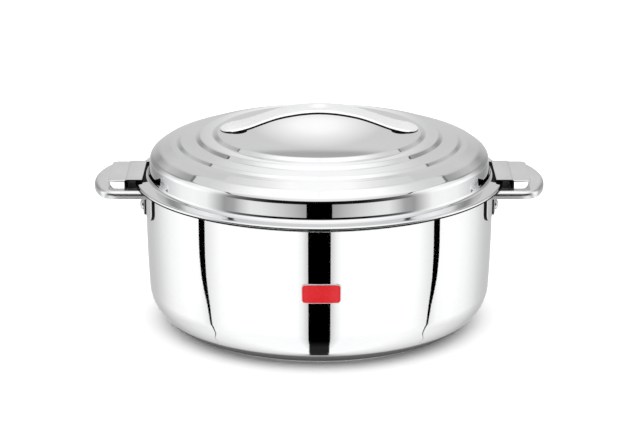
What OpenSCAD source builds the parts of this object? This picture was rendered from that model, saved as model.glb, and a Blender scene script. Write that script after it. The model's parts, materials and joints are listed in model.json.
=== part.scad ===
// Insulated chapati casserole: a round double-wall steel hot pot with a
// stepped lid that locks by turning and then lifts straight off.
// Millimetres. +Z up, front towards -Y, side handles along X.
// The origin is the middle of the base, on the surface the pot stands on.

/* [Pot] */
// Outer radius of the wall near the rim
wall_r = 116.2; // [115.4:0.2:116.2]
// Outer radius of the wall 30 mm above the table
wall_low_r = 114.9; // [113.5:0.1:115.5]
// Radius of the rounded corner between wall and base
base_corner = 26; // [20:1:30]
// Thickness of the outer shell's sheet
shell_t = 0.8; // [0.6:0.1:1]
// Inner radius of the food bowl
bowl_r = 105.5; // [105.5:0.1:106]
// Height of the bowl's floor above the table
bowl_floor_z = 14.6; // [10:0.2:20]
// Thickness of the bowl's sheet
bowl_t = 0.6; // [0.5:0.1:0.6]
// Height of the rim's flat top
rim_z = 97; // [97:0.1:97.2]

/* [Lid] */
// Outer radius of the lid's flange
flange_r = 123.4; // [122:0.2:125]
// Height of the top face of the lid's flange at its outer edge
flange_z = 99.6; // [99.6:0.1:99.8]
// Height of the middle of the lid's dome
dome_z = 130.6; // [129.2:0.2:131]
// Thickness of the cover's sheet
cover_t = 0.6; // [0.5:0.1:0.6]
// Height of the underside of the lid's inner pan
liner_z = 88; // [85:0.5:92]

/* [Strap handle] */
// Height of the top of the arched strap
strap_z = 145.8; // [144:0.2:150]
// Half the length of the strap
strap_half = 66; // [64:1:68]
// Half the width of the strap at its middle
strap_w = 12; // [10:0.5:13]
// Distance of each stud from the middle of the lid
stud_x = 54; // [50:1:55]

/* [Side handles] */
// Distance from the middle of the pot to the end of a handle
handle_end = 150.5; // [148:0.5:154]
// Half the width of a handle
handle_w = 36; // [36:0.5:38]
// Width of the pressed band round the finger hole
band_w = 10; // [8:0.5:10]
// Outer corner radius of a handle
handle_corner = 12.25; // [12.25:0.25:16]
// Radius of the bowed end of a handle
handle_bow = 74; // [70:1:150]
// Height of the handle's top face
handle_z = 96.7; // [96.2:0.1:96.8]

/* [Lock] */
// Half the width of a lock channel
lock_w = 23.4; // [18:0.2:23.4]
// Half the angle of the notch in the lid's flange, in degrees
notch_deg = 12.3; // [12:0.1:14]
// Distance of each rivet from the handle's centre plane
rivet_y = 15; // [13:0.5:17]

/* [Hidden] */
$fn = 128;

steel = [0.86, 0.87, 0.88];
foam = [0.93, 0.88, 0.70];
dark = [0.10, 0.10, 0.11];
red = [0.88, 0.16, 0.19];

lock_in = 116.2;          // inner edge of the lock channel's top
lock_out = 129;           // outer face of the lock channel
notch_in = 115.8;         // floor of the flange's notch
plate_in = wall_r + 0.05; // handle plate's inner face
plate_out = wall_r + 1.25;
pad_out = plate_out + 0.9; // outer face of the lock bracket's pad
wing_x = handle_end - band_w - 0.3; // outer end of the lock's wing
rivet_z = 82;
shell_in = wall_r - shell_t;
liner_r = bowl_r - 1.2;
liner_t = 0.5;
liner_top = flange_z - 0.65;  // top of the liner's flange
disc_r = 68;                  // edge of the lid's raised disc
disc_z = 128.9;

// ---------- profile helpers ----------
// Unit vector from a to b
function unit(a, b) = let (d = b - a, l = norm(d)) d / max(l, 0.000001);
// A corner at p between a and b, rounded to radius r with n steps
function corner(a, p, b, r, n = 6) =
    let (u = unit(p, a), v = unit(p, b), c = u * v,
         half = acos(max(-1, min(1, c))) / 2)
    r <= 0 || half > 89.5 ? [p] :
    let (t = r / tan(half), p1 = p + u * t, p2 = p + v * t,
         m = p + unit([0, 0], u + v) * (r / sin(half)),
         a1 = atan2(p1[1] - m[1], p1[0] - m[0]),
         a2 = atan2(p2[1] - m[1], p2[0] - m[0]),
         da = a2 - a1, d = da > 180 ? da - 360 : da < -180 ? da + 360 : da)
    [for (i = [0 : n]) m + r * [cos(a1 + d * i / n), sin(a1 + d * i / n)]];
// A path of [x, y, corner radius] points with its corners rounded
function smooth_path(q) = [for (i = [0 : len(q) - 1])
    each (i == 0 || i == len(q) - 1 ? [[q[i][0], q[i][1]]] :
        corner([q[i-1][0], q[i-1][1]], [q[i][0], q[i][1]],
               [q[i+1][0], q[i+1][1]], q[i][2]))];
// The path moved sideways by d, to the right of its direction
function beside(p, d) = [for (i = [0 : len(p) - 1])
    let (a = i == 0 ? unit(p[0], p[1]) : unit(p[i-1], p[i]),
         b = i == len(p) - 1 ? a : unit(p[i], p[i+1]),
         na = [a[1], -a[0]], nb = [b[1], -b[0]],
         m = unit([0, 0], na + nb))
    p[i] + m * d / max(0.35, m * na)];
function back(p) = [for (i = [len(p) - 1 : -1 : 0]) p[i]];
// Keeps a path's points on or right of the axis
function on_axis(p) = [for (a = p) [max(0, a[0]), a[1]]];

module lathe(points) { rotate_extrude($fn = 180) polygon(on_axis(points)); }
// A ring segment centred on azimuth az, spanning +-half degrees
module arc_lathe(points, az, half) {
    rotate([0, 0, az - half]) rotate_extrude(angle = 2 * half, $fn = 180)
        polygon(points);
}
module ring_part(r1, r2, z1, z2, az, half) {
    arc_lathe([[r1, z1], [r2, z1], [r2, z2], [r1, z2]], az, half);
}

// ---------- pot ----------
// The wall is upright at the top and leans in a little towards the base
function wall_at(z) = z >= 80 ? wall_r : wall_r - (wall_r - wall_low_r) * pow((80 - z) / 50, 2);
corner_top = base_corner * (1 - sin(3.3));
foot_r = wall_at(corner_top) - base_corner * cos(3.3);
shell_path = concat(
    [[0, 1.5], [56, 1.5], [60, 0]],
    [for (a = [-90 : 6 : -12]) [foot_r + base_corner * cos(a), base_corner + base_corner * sin(a)]],
    [for (a = [-7, -3.3]) [foot_r + base_corner * cos(a), base_corner + base_corner * sin(a)]],
    [for (z = [34 : 8 : 74]) [wall_at(z), z]], [[wall_r, 80], [wall_r, 95.5]]);

module outer_shell() {
    color(steel) difference() {
        union() {
            lathe(concat(shell_path, back(beside(shell_path, -shell_t))));
            lathe([[shell_in, 95.5], [wall_r + 0.9, 95.5], [wall_r + 0.9, 96.3], [shell_in, 96.3]]);
        }
        translate([0, 0, -1]) cylinder(r = 9, h = 6);
        for (s = [0, 180]) rivet_places(s) cylinder(r = 2.05, h = 12, center = true);
    }
}

bowl_path = concat([[0, bowl_floor_z]],
    [for (a = [-90 : 6 : 0]) [bowl_r - 22 + 22 * cos(a), bowl_floor_z + 22 + 22 * sin(a)]],
    corner([bowl_r, 60], [bowl_r, rim_z], [112, rim_z], 1.2, 4),
    corner([112, rim_z], [wall_r + 1.7, rim_z], [wall_r + 1.7, 94], 0.9, 4),
    [[wall_r + 1.7, 94.9]]);
module inner_bowl() {
    color(steel) lathe(concat(bowl_path, back(beside(bowl_path, bowl_t))));
}

foam_out = beside(shell_path, -shell_t - 0.02);
foam_in = beside([for (i = [0 : 17]) bowl_path[i]], bowl_t + 0.02);
module body_insulation() {
    color(foam) difference() {
        lathe(concat(
            [for (p = foam_out) if (p[1] < 95.4) p],
            [[shell_in - 0.02, 95.4], [bowl_r + bowl_t + 0.02, 95.4]],
            back(foam_in)));
        translate([0, 0, 1]) cylinder(r = 9.3, h = 5.2);
        for (s = [0, 180]) ring_part(wall_r - 4.4, wall_r, rivet_z - 6.2, rivet_z + 7.2, s, 11.6);
    }
}

module base_plug() {
    color(dark) union() {
        translate([0, 0, 0.5]) cylinder(r = 12, h = 1);
        translate([0, 0, 1.4]) cylinder(r = 8.9, h = 4);
    }
}

// Puts its child on each rivet's axis, with +Z pointing out of the wall
module rivet_places(az) {
    for (s = [-1, 1]) rotate([0, 0, az + s * asin(rivet_y / wall_r)])
        translate([wall_r, 0, rivet_z]) rotate([0, 90, 0]) children();
}

// Channel that the lid's flange turns into, with a pad riveted to the wall
// and a flat wing over the handle's finger hole
module lock_bracket(az) {
    color(steel) difference() {
        union() {
            ring_part(plate_out - 3, pad_out, 76.5, 93.4, az, asin((lock_w - 0.4) / pad_out));
            rotate([0, 0, az]) translate([0, lock_w, 0]) rotate([90, 0, 0]) linear_extrude(2 * lock_w)
                polygon(smooth_path([
                    [108, 94.2, 0], [108, 93, 0],
                    [lock_out, 93, 2.4], [lock_out, 101.4, 1.8], [lock_in + 0.4, 101.4, 0],
                    [lock_in, 101.1, 0], [lock_in, 100.6, 0],
                    [lock_out - 1.2, 100.6, 0.6], [lock_out - 1.2, 94.2, 1.2],
                    [108, 94.2, 0]]));
            rotate([0, 0, az]) translate([0, 0, 99.7]) linear_extrude(1.2) {
                translate([lock_out - 1, -lock_w]) square([wing_x - 4 - lock_out + 1, 2 * lock_w]);
                translate([wing_x - 5, 4 - lock_w]) square([5, 2 * lock_w - 8]);
                for (s = [-1, 1]) translate([wing_x - 4, s * (lock_w - 4)]) circle(r = 4, $fn = 48);
            }
        }
        translate([0, 0, 70]) cylinder(r = plate_out + 0.05, h = 27);
        rivet_places(az) cylinder(r = 2.05, h = 12, center = true);
    }
}

// Section of the pressed band: flat top, rolled outer edge, inner flange
band_top = handle_z;
band_section = concat(
    corner([0, 80], [0, band_top], [9, band_top], 1.6, 4),
    corner([0, band_top], [band_w, band_top], [band_w, 80], 2.8, 6),
    [[band_w, band_top - 5.2], [band_w - 1.2, band_top - 5.2]],
    corner([band_w - 1.2, 80], [band_w - 1.2, band_top - 1.2], [0, band_top - 1.2], 1.6, 5),
    corner([9, band_top - 1.2], [1.2, band_top - 1.2], [1.2, 80], 0.5, 3),
    [[1.2, band_top - 5.2], [0, band_top - 5.2]]);
hole_r = handle_corner - band_w;
bow_x = handle_end - handle_bow;
bend_y = handle_w - handle_corner;
bend_dx = sqrt(pow(handle_bow - handle_corner, 2) - pow(bend_y, 2));
bend_x = bow_x + bend_dx;
// Loop with a plate that runs down the wall behind it
module side_handle(az) {
    color(steel) rotate([0, 0, az]) difference() {
        union() {
            for (s = [0, 1]) mirror([0, s, 0]) {
                intersection() {
                    translate([bend_x, bend_y, 0]) rotate_extrude($fn = 96)
                        translate([hole_r, 0]) polygon(band_section);
                    translate([0, 0, 80]) linear_extrude(30) polygon([[bend_x, bend_y],
                        [bend_x + bend_dx, 2 * bend_y], [bend_x + bend_dx, bend_y + 40],
                        [bend_x, bend_y + 40]]);
                }
                translate([bend_x, bend_y + hole_r, 0]) rotate([90, 0, -90])
                    linear_extrude(bend_x - 108) mirror([1, 0]) polygon(band_section);
            }
            intersection() {
                translate([bow_x, 0, 0]) rotate_extrude($fn = 180)
                    translate([handle_bow - band_w, 0]) polygon(band_section);
                translate([0, 0, 80]) linear_extrude(30) polygon([[bow_x, 0],
                    [bow_x + 2 * bend_dx, -2 * bend_y], [bow_x + 2 * bend_dx, 2 * bend_y]]);
            }
            intersection() {
                ring_part(plate_in, plate_out, 74, 94.4, 0, 24);
                translate([100, 0, 0]) rotate([90, 0, 90]) linear_extrude(30) {
                    translate([-41, 83]) square([82, 11.3]);
                    translate([-35, 77]) square([70, 7]);
                    for (s = [-1, 1]) translate([s * 35, 83]) circle(r = 6, $fn = 48);
                }
            }
        }
        translate([0, 0, 94.5]) cylinder(r = wall_r + 2.2, h = 4);
        translate([0, 0, 70]) cylinder(r = plate_in, h = 24.6);
        rivet_places(0) cylinder(r = 2.05, h = 12, center = true);
    }
}

module handle_rivets() {
    color(steel) for (az = [0, 180]) rivet_places(az) {
        rotate_extrude($fn = 48) polygon(concat(
            [[0, -4.3], [3, -4.3], [3, -3.5], [2.9, -3.3], [2, -3.3 + 0.9],
             [2, 2.2], [3.4, 2.2], [3.4, 2.5]],
            [for (a = [10 : 10 : 90]) [3.3 * cos(a), 2.65 + 1.6 * sin(a)]]));
    }
}

module backing_plate(az) {
    color(steel) difference() {
        ring_part(wall_r - 2.35, shell_in - 0.05, rivet_z - 5, rivet_z + 6, az, 10.6);
        rivet_places(az) cylinder(r = 2.05, h = 16, center = true);
    }
}

// Plain rounded name plate, curved with the wall
module badge() {
    color(red) intersection() {
        rotate_extrude($fn = 180) polygon([
            [wall_at(44) + 0.13, 44], [wall_at(44) + 0.8, 44],
            [wall_at(62) + 0.8, 62], [wall_at(62) + 0.13, 62]]);
        translate([1.7, -100, 53.4]) rotate([90, 0, 0]) linear_extrude(30) union() {
            square([24.2, 12.3 - 5], center = true);
            square([24.2 - 5, 12.3], center = true);
            for (x = [-1, 1]) for (y = [-1, 1])
                translate([x * 9.6, y * 3.65]) circle(r = 2.5, $fn = 32);
        }
    }
}

// ---------- seal ----------
module rim_seal() {
    color(dark) lathe([[bowl_r + 3, rim_z], [wall_r + 1.6, rim_z],
        [wall_r + 1.8, rim_z + 0.3], [wall_r + 5.6, rim_z + 0.3],
        [wall_r + 5.6, rim_z + 0.85], [wall_r + 2.4, rim_z + 0.85],
        [wall_r + 2.4, liner_top - 0.55], [bowl_r + 3, liner_top - 0.55]]);
}

// ---------- lid ----------
// Outer face of the cover, from the middle to the flange's edge
function dome_at(r) = dome_z - (dome_z - disc_z) * pow(r / disc_r, 2);
cover_path = concat(
    [for (r = [0 : 8 : 56]) [r, dome_at(r)]],
    smooth_path([[64, dome_at(64), 0], [disc_r, disc_z, 2], [70.9, 126.9, 1.4],
        [79.6, 127.0, 1.6], [82.2, 124.7, 1.3], [92.5, 123.6, 1.5],
        [94.9, 121.9, 1.4], [98.6, 121.3, 8], [106.6, 118.7, 8], [111.6, 115.1, 4],
        [113.1, 112.8, 3], [114.0, flange_z + 1.1, 1.2], [flange_r - 2.4, flange_z + 0.11, 0]]));
cover_edge = concat([for (a = [82, 66, 50, 34, 17, 0])
        [flange_r - 1.6 + 1.6 * cos(a), flange_z - 1.6 + 1.6 * sin(a)]],
    [[flange_r - 3.2, flange_z - 1.6], [flange_r - 3.2, flange_z - 1.2],
     [flange_r - 1, flange_z - 1.2], [flange_r - 1, flange_z - cover_t]]);
module notches() {
    for (az = [0, 180])
        ring_part(notch_in, flange_r + 6, flange_z - 3, flange_z + 2, az, notch_deg);
}
module lid_cover() {
    color(steel) difference() {
        lathe(concat(cover_path, cover_edge, back(beside(cover_path, cover_t))));
        notches();
        for (s = [-1, 1]) translate([s * stud_x, 0, 120]) cylinder(r = 2.55, h = 20);
    }
}

liner_path = concat([[0, liner_z]],
    [for (a = [-90 : 10 : 0]) [liner_r - 5 + 5 * cos(a), liner_z + 5 + 5 * sin(a)]],
    corner([liner_r, liner_z + 5], [liner_r, liner_top - liner_t], [112, liner_top - liner_t], 1.0, 4),
    [[flange_r - 1.1, liner_top - liner_t]]);
module lid_liner() {
    color(steel) difference() {
        lathe(concat(liner_path, back(beside(liner_path, -liner_t))));
        notches();
        translate([0, 0, liner_z - 1]) cylinder(r = 8, h = 4);
    }
}

module lid_insulation() {
    color(foam) difference() {
        lathe(concat(
            [for (p = beside(liner_path, -liner_t - 0.02)) if (p[0] < 111.5 && p[1] < liner_top + 0.4) p],
            [[111.5, liner_top + 0.02]],
            back([for (p = beside(cover_path, cover_t + 0.02)) if (p[1] > liner_top + 1 && p[0] < 112.4) p])));
        for (s = [-1, 1]) translate([s * stud_x, 0, 116]) cylinder(r = 7.2, h = 20);
        translate([0, 0, liner_z - 1]) cylinder(r = 8.3, h = 6);
    }
}

module lid_plug() {
    color(dark) union() {
        translate([0, 0, liner_z - 1]) cylinder(r = 11, h = 1);
        translate([0, 0, liner_z - 0.1]) cylinder(r = 7.9, h = 4);
    }
}

// Height of the strap's top along its middle line, at distance x
strap_top = [[0, 0], [10.4, 0.6], [20, 2.1], [27.1, 3.7], [34, 5.9], [40.4, 8.2],
    [46, 10.2], [50.4, 11.5], [55, 12.6], [59, 13.3], [63, 14.1], [66.1, 15.0]];
function strap_at(x) = strap_z - lookup(abs(x) * 66 / strap_half, strap_top);
function strap_half_w(x) = let (a = abs(x) * 66 / strap_half)
    a < 30 ? strap_w : a < 52 ? strap_w + pow((a - 30) / 22, 2) * (3 - 2 * (a - 30) / 22) :
    (strap_w + 1) * sqrt(max(0.02, 1 - pow(max(0, a - 55) / 11.1, 2.4)));
// The strap's long edges are rolled down; the roll gets smaller towards the tips
function strap_roll(x) = let (a = min(1, max(0, (abs(x) - 38) / 18)))
    min(2.5 - 1.2 * a * a * (3 - 2 * a), 0.8 * strap_half_w(x));
strap_t = 1.1;
strap_xs = [for (i = [-28 : 28]) i * strap_half / 28];
// One ring of points round the strap's section at x
function strap_side(f, z, r, s, up) = [for (i = [0 : 4]) let (a = up ? i * 22.5 : 90 - i * 22.5)
    [s * (f + r * cos(a)), z + r * sin(a)]];
function strap_ring(x) = let (w = strap_half_w(x), r = strap_roll(x), f = w - r,
        z = strap_at(x), c = 0.5 * pow(f / w, 2), m = z - c - r, q = r - min(strap_t, 0.75 * r),
        ts = [-0.5, 0, 0.5]) [for (p = concat(
    strap_side(f, m, r, -1, true), [for (t = ts) [t * f, z - c * t * t]],
    strap_side(f, m, r, 1, false), strap_side(f, m, q, 1, true),
    [for (t = ts) [-t * f, z - c * t * t - (r - q)]], strap_side(f, m, q, -1, false))) [x, p[0], p[1]]];
module lid_handle() {
    m = 26;
    k = len(strap_xs);
    e = (k - 1) * m;
    color(steel) polyhedron(
        points = [for (x = strap_xs) each strap_ring(x)],
        faces = concat(
            [for (j = [0 : m / 2 - 2]) each [[j, j + 1, m - 2 - j], [j, m - 2 - j, m - 1 - j]]],
            [for (i = [0 : k - 2]) for (j = [0 : m - 1])
                each [[i * m + j, (i + 1) * m + j, (i + 1) * m + (j + 1) % m],
                      [i * m + j, (i + 1) * m + (j + 1) % m, i * m + (j + 1) % m]]],
            [for (j = [0 : m / 2 - 2]) each [[e + m - 2 - j, e + j + 1, e + j],
                [e + m - 1 - j, e + m - 2 - j, e + j]]]));
}

// Stud with a collar that carries the strap above the cover
stud_low = dome_at(stud_x) + 0.25;
module handle_studs() {
    color(steel) for (s = [-1, 1]) translate([s * stud_x, 0, 0]) {
        translate([0, 0, stud_low]) cylinder(r = 4.5, h = strap_at(stud_x + 4.5) - strap_t - 0.1 - stud_low, $fn = 48);
        translate([0, 0, 118]) cylinder(r = 2.5, h = stud_low + 0.5 - 118, $fn = 48);
    }
}
// Black sleeve round each stud, between the cover and the strap
module stud_sleeves() {
    color(dark) for (s = [-1, 1]) translate([s * stud_x, 0, dome_at(stud_x - 6) + 0.1])
        difference() {
            cylinder(r = 5.8, h = strap_at(stud_x + 5.8) - strap_t - 0.15 - dome_at(stud_x - 6) - 0.1, $fn = 48);
            translate([0, 0, -1]) cylinder(r = 4.6, h = 6, $fn = 48);
        }
}
module stud_washers() {
    color(steel) for (s = [-1, 1]) translate([s * stud_x, 0, dome_at(stud_x + 6.5) - cover_t - 1.25])
        difference() {
            cylinder(r = 6.5, h = 1.2, $fn = 48);
            translate([0, 0, -1]) cylinder(r = 2.55, h = 4, $fn = 48);
        }
}
module stud_nuts() {
    color(steel) for (s = [-1, 1]) translate([s * stud_x, 0, dome_at(stud_x + 6.5) - cover_t - 5.3])
        difference() {
            cylinder(r = 4.6, h = 4, $fn = 6);
            translate([0, 0, -1]) cylinder(r = 2.55, h = 6, $fn = 48);
        }
}

outer_shell();
inner_bowl();
body_insulation();
base_plug();
lock_bracket(180);  // lock_bracket_left
lock_bracket(0);  // lock_bracket_right
side_handle(180);  // handle_left
side_handle(0);  // handle_right
handle_rivets();
backing_plate(180);  // backing_plate_left
backing_plate(0);  // backing_plate_right
badge();
rim_seal();
lid_cover();
lid_liner();
lid_insulation();
lid_plug();
lid_handle();
handle_studs();
stud_sleeves();
stud_washers();
stud_nuts();
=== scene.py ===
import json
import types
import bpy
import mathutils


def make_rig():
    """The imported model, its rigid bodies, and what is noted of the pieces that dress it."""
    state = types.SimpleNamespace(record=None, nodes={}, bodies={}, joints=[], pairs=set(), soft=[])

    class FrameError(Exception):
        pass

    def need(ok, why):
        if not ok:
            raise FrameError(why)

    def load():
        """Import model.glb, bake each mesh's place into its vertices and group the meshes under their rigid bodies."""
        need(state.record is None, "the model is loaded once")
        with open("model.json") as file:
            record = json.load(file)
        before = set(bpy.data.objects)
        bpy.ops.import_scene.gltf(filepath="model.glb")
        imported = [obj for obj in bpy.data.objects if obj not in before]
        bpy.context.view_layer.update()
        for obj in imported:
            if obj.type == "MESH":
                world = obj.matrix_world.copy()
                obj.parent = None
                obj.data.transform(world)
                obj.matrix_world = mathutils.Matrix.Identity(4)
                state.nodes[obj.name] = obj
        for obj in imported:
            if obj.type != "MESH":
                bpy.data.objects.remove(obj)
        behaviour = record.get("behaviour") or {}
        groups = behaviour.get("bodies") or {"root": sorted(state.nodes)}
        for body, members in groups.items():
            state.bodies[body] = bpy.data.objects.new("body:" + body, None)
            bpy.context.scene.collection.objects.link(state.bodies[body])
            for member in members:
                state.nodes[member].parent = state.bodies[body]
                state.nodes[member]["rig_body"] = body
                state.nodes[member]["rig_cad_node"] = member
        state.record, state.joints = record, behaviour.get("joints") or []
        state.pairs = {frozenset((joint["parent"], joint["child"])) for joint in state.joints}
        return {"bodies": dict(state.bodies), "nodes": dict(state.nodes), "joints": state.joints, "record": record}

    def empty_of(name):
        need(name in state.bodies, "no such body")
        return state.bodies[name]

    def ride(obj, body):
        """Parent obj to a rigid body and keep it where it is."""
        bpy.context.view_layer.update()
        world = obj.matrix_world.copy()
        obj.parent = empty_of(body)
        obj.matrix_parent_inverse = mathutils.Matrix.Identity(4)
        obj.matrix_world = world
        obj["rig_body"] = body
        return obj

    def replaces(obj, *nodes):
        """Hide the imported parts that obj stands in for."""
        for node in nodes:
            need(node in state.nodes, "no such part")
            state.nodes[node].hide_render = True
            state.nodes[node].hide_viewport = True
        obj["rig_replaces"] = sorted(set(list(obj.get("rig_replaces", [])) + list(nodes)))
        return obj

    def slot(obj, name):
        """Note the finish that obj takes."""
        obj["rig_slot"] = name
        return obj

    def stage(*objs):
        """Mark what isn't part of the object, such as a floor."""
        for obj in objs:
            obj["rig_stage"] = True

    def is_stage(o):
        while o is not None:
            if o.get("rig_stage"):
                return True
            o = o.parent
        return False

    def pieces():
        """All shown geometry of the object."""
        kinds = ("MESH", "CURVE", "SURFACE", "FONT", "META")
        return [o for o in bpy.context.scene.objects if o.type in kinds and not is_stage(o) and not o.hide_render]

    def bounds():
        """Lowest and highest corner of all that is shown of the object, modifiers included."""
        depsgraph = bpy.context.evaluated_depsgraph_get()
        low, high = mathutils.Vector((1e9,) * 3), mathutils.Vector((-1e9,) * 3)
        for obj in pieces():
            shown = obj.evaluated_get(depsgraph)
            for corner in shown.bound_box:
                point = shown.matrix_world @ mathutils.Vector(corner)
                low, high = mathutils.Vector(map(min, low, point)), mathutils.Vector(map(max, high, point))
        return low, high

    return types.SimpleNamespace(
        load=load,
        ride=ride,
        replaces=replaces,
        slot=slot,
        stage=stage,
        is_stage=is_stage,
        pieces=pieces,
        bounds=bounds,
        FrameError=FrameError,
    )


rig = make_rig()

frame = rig.load()

import json
import math

import bmesh
import bpy
from mathutils import Vector

cad_lo, cad_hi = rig.bounds()
MM = 0.001
scene = bpy.context.scene
scene.view_settings.view_transform = "Standard"
scene.view_settings.look = "None"

# ---------------------------------------------------------------- camera
cam_data = bpy.data.cameras.new("camera")
cam_data.lens = 133.0
cam_data.sensor_width = 36.0
cam_data.clip_start, cam_data.clip_end = 0.05, 60.0
cam = bpy.data.objects.new("camera", cam_data)
cam.location = (-0.0028, -1.5, 0.53456)
cam.rotation_euler = (math.pi / 2 - 0.2992, 0.0, 0.0)
scene.collection.objects.link(cam)
scene.camera = cam


# ---------------------------------------------------------------- materials
class Nodes:
    """A small helper that builds one material's node tree."""

    def __init__(self, name):
        self.mat = bpy.data.materials.new(name)
        self.mat.use_nodes = True
        self.t = self.mat.node_tree
        self.t.nodes.clear()
        self.out = self.add("ShaderNodeOutputMaterial")
        self.bsdf = self.add("ShaderNodeBsdfPrincipled")
        self.link(self.bsdf.outputs[0], self.out.inputs["Surface"])
        self.co = self.add("ShaderNodeTexCoord").outputs["Object"]

    def add(self, kind, **kw):
        n = self.t.nodes.new(kind)
        for k, v in kw.items():
            setattr(n, k, v)
        return n

    def link(self, a, b):
        self.t.links.new(a, b)

    def put(self, socket, v):
        if hasattr(v, "links") or isinstance(v, bpy.types.NodeSocket):
            self.link(v, socket)
        else:
            socket.default_value = v

    def math(self, op, a, b=0.0, c=0.0, clamp=False):
        n = self.add("ShaderNodeMath", operation=op, use_clamp=clamp)
        for s, v in zip(n.inputs, (a, b, c)):
            self.put(s, v)
        return n.outputs[0]

    def noise(self, vec, scale, detail=3.0, rough=0.55, distortion=0.0):
        n = self.add("ShaderNodeTexNoise")
        self.put(n.inputs["Vector"], vec)
        n.inputs["Scale"].default_value = scale
        n.inputs["Detail"].default_value = detail
        n.inputs["Roughness"].default_value = rough
        n.inputs["Distortion"].default_value = distortion
        return n.outputs[0]

    def ramp(self, fac, *stops):
        n = self.add("ShaderNodeValToRGB")
        self.put(n.inputs[0], fac)
        el = n.color_ramp.elements
        while len(el) > 1:
            el.remove(el[-1])
        for i, (pos, v) in enumerate(stops):
            e = el[0] if i == 0 else el.new(pos)
            e.position = pos
            e.color = (v, v, v, 1) if isinstance(v, (int, float)) else (*v, 1)
        return n.outputs[0]

    def range(self, v, a, b, c, d):
        n = self.add("ShaderNodeMapRange")
        for s, x in zip(n.inputs, (v, a, b, c, d)):
            self.put(s, x)
        return n.outputs[0]

    def mix(self, fac, a, b):
        n = self.add("ShaderNodeMix", data_type="RGBA")
        self.put(n.inputs[0], fac)
        for s, v in ((n.inputs[6], a), (n.inputs[7], b)):
            if isinstance(v, tuple) and len(v) == 3:
                v = (*v, 1)
            self.put(s, v)
        return n.outputs[2]

    def polar(self, r_scale, z_scale, a_scale):
        """Coordinates that run round the object's axis, for spun and drawn metal."""
        s = self.add("ShaderNodeSeparateXYZ")
        self.link(self.co, s.inputs[0])
        x, y, z = s.outputs
        r = self.math("SQRT", self.math("ADD", self.math("MULTIPLY", x, x), self.math("MULTIPLY", y, y)))
        a = self.math("ARCTAN2", y, x)
        c = self.add("ShaderNodeCombineXYZ")
        self.link(self.math("MULTIPLY", r, r_scale), c.inputs[0])
        self.link(self.math("MULTIPLY", z, z_scale), c.inputs[1])
        self.link(self.math("MULTIPLY", self.math("ABSOLUTE", a), a_scale), c.inputs[2])
        return c.outputs[0]

    def scaled(self, sx, sy, sz):
        m = self.add("ShaderNodeMapping")
        self.link(self.co, m.inputs["Vector"])
        m.inputs["Scale"].default_value = (sx, sy, sz)
        return m.outputs[0]

    def bump(self, height, distance, strength=1.0, normal=None):
        n = self.add("ShaderNodeBump")
        n.inputs["Strength"].default_value = strength
        n.inputs["Distance"].default_value = distance
        self.put(n.inputs["Height"], height)
        if normal is not None:
            self.link(normal, n.inputs["Normal"])
        return n.outputs[0]


def steel(name, tint, rough_lo, rough_hi, spun=True, brush=0.0, wave=1.0, axis=(1, 1, 1), dark=0.94, lines_up=1.0, wear=1.0, metal=1.0, foot=None):
    """Polished or satin stainless steel: buffing lines, soft smudges, hairline scratches and a slight waviness of the sheet."""
    m = Nodes(name)
    m.bsdf.inputs["Metallic"].default_value = metal
    co = m.polar(1.0, 1.0, 0.02) if spun else m.scaled(*axis)
    lines = m.noise(co, 900.0, 4.0, 0.65)
    fine = m.noise(co, 3200.0, 2.0, 0.6)
    smudge = m.noise(m.co, 38.0, 5.0, 0.6, 0.4)
    patch = m.noise(m.co, 9.0, 3.0, 0.5)
    scratch = m.noise(m.scaled(2600.0, 140.0, 900.0), 1.0, 3.0, 0.7, 1.2)
    hair = m.ramp(scratch, (0.0, 0.0), (0.655, 0.0), (0.70, 1.0))
    worn = m.math("MULTIPLY", hair, m.ramp(patch, (0.42, 0.0), (0.62, 1.0)))
    rough = m.range(m.math("ADD", m.math("MULTIPLY", smudge, 0.7), m.math("MULTIPLY", lines, 0.3)), 0.36, 0.66, rough_lo, rough_hi)
    rough = m.math("ADD", rough, m.math("MULTIPLY", worn, 0.10 * wear), clamp=True)
    low = tuple(c * dark for c in tint)
    colour = m.mix(m.range(m.math("ADD", m.math("MULTIPLY", lines, 0.5), m.math("MULTIPLY", smudge, 0.5)), 0.35, 0.65, 0.0, 1.0), low, tint)
    if foot is not None:
        # painted shade: the foot's curve is painted dark grey and dull up to this height, a band that stands in for the
        # contact shadow seen in it
        sep = m.add("ShaderNodeSeparateXYZ")
        m.link(m.co, sep.inputs[0])
        h = m.range(m.math("ADD", sep.outputs[2], m.math("MULTIPLY", smudge, 0.0003)), 0.0, foot, 0.0, 1.0)
        raw = m.ramp(h, (0.05, 0.0), (0.10, 1.0), (0.88, 1.0), (0.95, 0.5), (1.0, 0.0))
        colour = m.mix(raw, colour, m.ramp(h, (0.0, 0.060), (0.45, 0.075), (0.9, 0.13)))
        rough = m.math("ADD", rough, m.math("MULTIPLY", raw, 0.4), clamp=True)
        m.link(m.range(raw, 0.0, 1.0, 1.0, 0.12), m.bsdf.inputs["Metallic"])
        m.link(m.range(raw, 0.0, 1.0, 0.5, 0.04), m.bsdf.inputs["Specular IOR Level"])
    m.link(rough, m.bsdf.inputs["Roughness"])
    m.link(colour, m.bsdf.inputs["Base Color"])
    n = m.bump(m.noise(m.co, 11.0, 2.0, 0.4), 0.0012, 0.08 * wave)
    n = m.bump(lines, 0.00002 * lines_up + 0.00012 * brush, 0.35, n)
    n = m.bump(fine, 0.00001 * lines_up + 0.00008 * brush, 0.3, n)
    n = m.bump(worn, 0.000012 * wear, 0.6, n)
    m.link(n, m.bsdf.inputs["Normal"])
    return m.mat


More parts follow.
